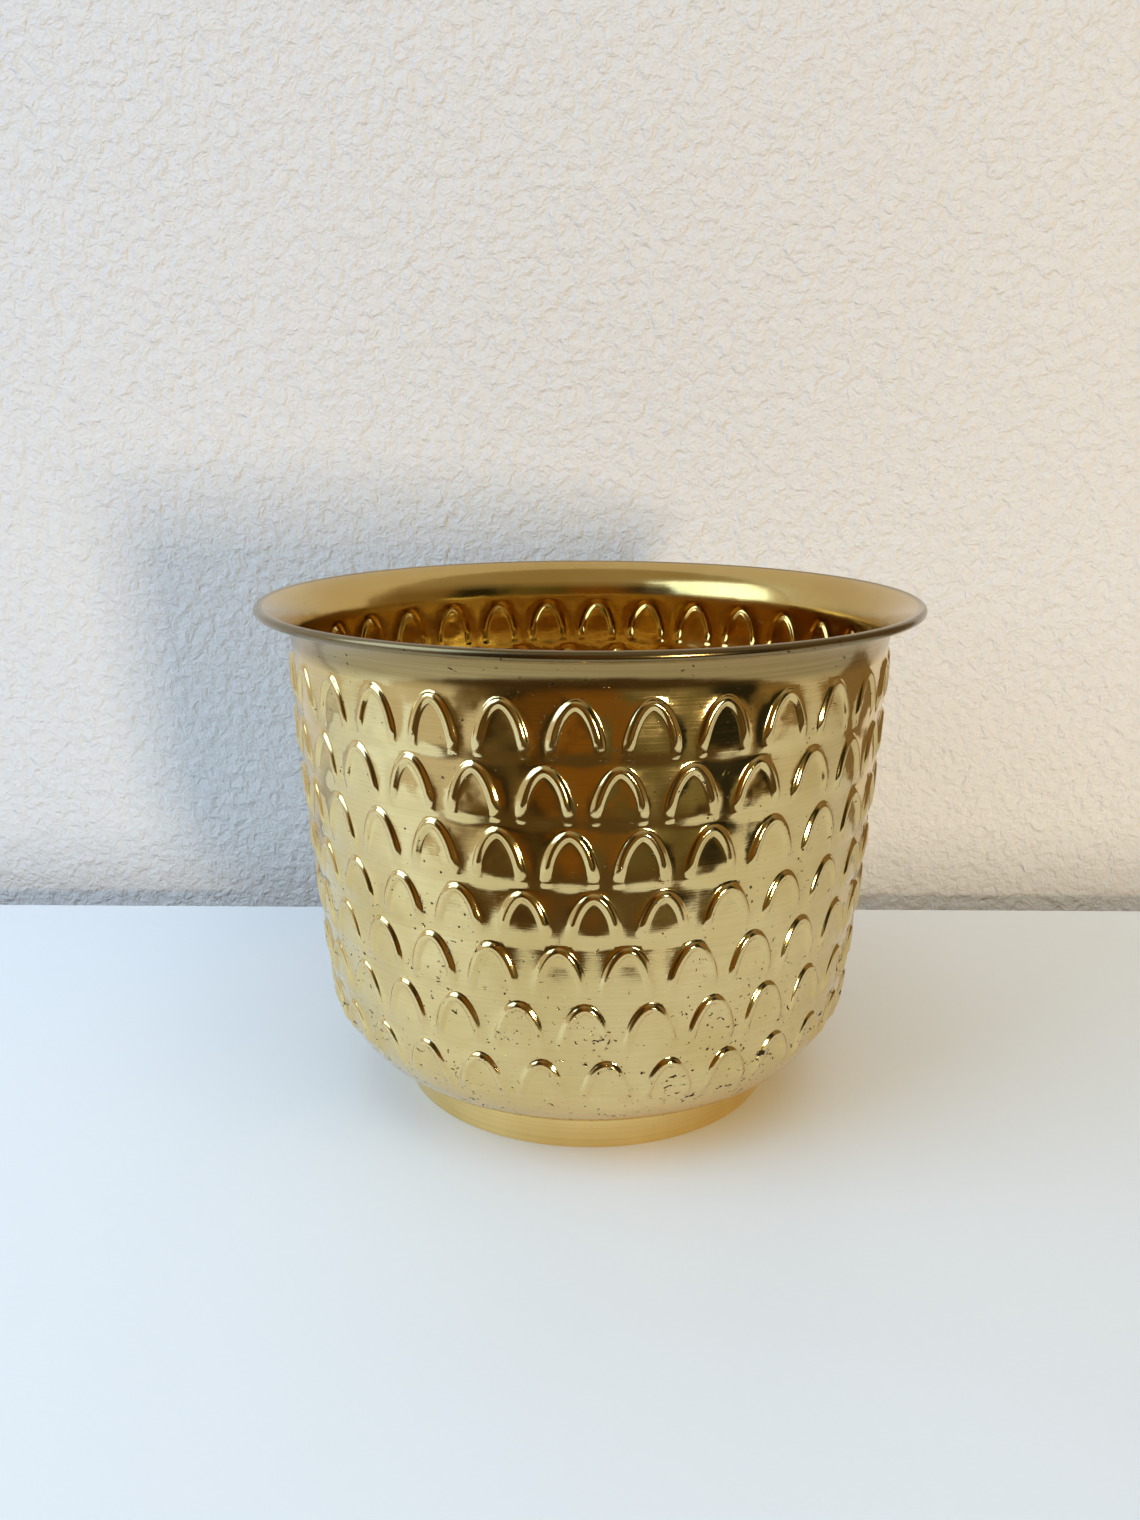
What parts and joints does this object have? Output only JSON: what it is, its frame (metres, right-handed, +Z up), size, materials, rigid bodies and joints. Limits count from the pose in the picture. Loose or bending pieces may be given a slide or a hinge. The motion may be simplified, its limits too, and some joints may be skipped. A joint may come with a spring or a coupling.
{
  "type": "planter pot",
  "caption": "Round spun-brass planter pot with a flared, wired rim, rows of raised scale-shaped arches and a plain foot ring.",
  "frame": {"origin": "centre of the circle on which the foot ring rests, on the ground plane", "axes": "+Z up along the pot's axis; the pot is round, so +X and +Y are free, with -Y taken as the front"},
  "size_m": [0.24, 0.24, 0.1847],
  "materials": {
    "polished_brass": "polished and lacquered sheet brass with small tarnish pits",
    "hoop_steel": "drawn steel wire, hidden inside the rolled edge",
    "foot_brass": "lathe-turned brass, a little yellower than the bowl",
    "solder": "dull grey soft solder"
  },
  "bodies": {
    "root": {"bowl_shell": "polished_brass", "rim_wire": "hoop_steel", "foot_ring": "foot_brass", "foot_solder": "solder"}
  },
  "joints": []
}
